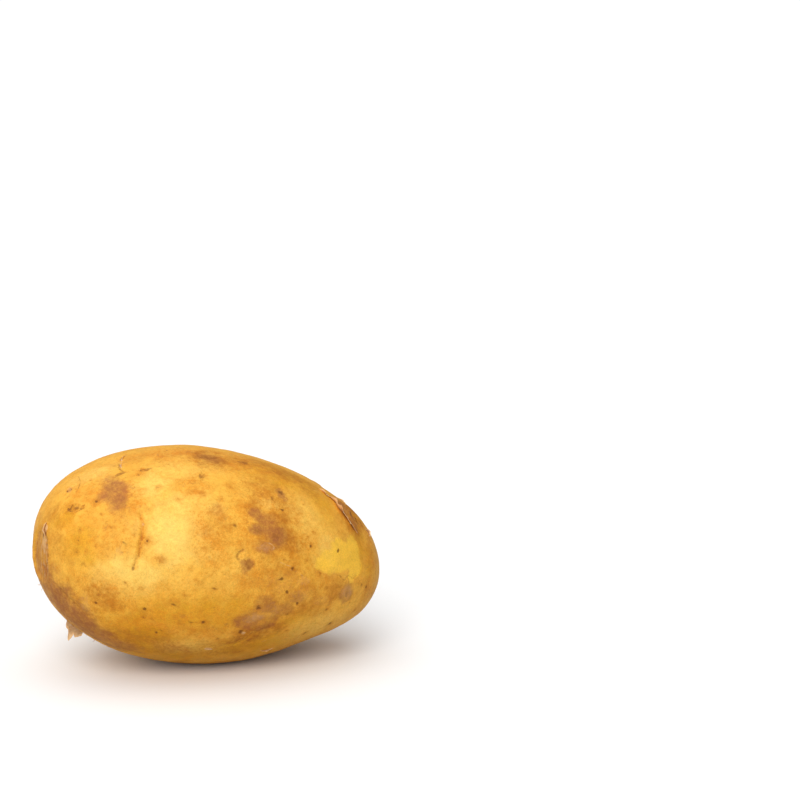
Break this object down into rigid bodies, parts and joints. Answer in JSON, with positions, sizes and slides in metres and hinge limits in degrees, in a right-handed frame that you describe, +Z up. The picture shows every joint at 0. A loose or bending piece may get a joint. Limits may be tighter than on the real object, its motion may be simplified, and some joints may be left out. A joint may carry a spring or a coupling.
{
  "type": "potato",
  "caption": "Long oval yellow-skinned potato with shallow eyes, a curved crease and a small flat spot that it lies on.",
  "frame": {"origin": "middle of the bounding box in X and Y, on the flat spot that the potato lies on", "axes": "+X along the potato towards its rose end, the stem end is at -X, -Y is its front, +Z up from the flat spot"},
  "size_m": [0.1006, 0.068, 0.0625],
  "materials": {
    "skin": "thin satin yellow-brown skin, mottled with russet and brown, small corky dots"
  },
  "bodies": {
    "root": {"potato": "skin"}
  },
  "joints": []
}
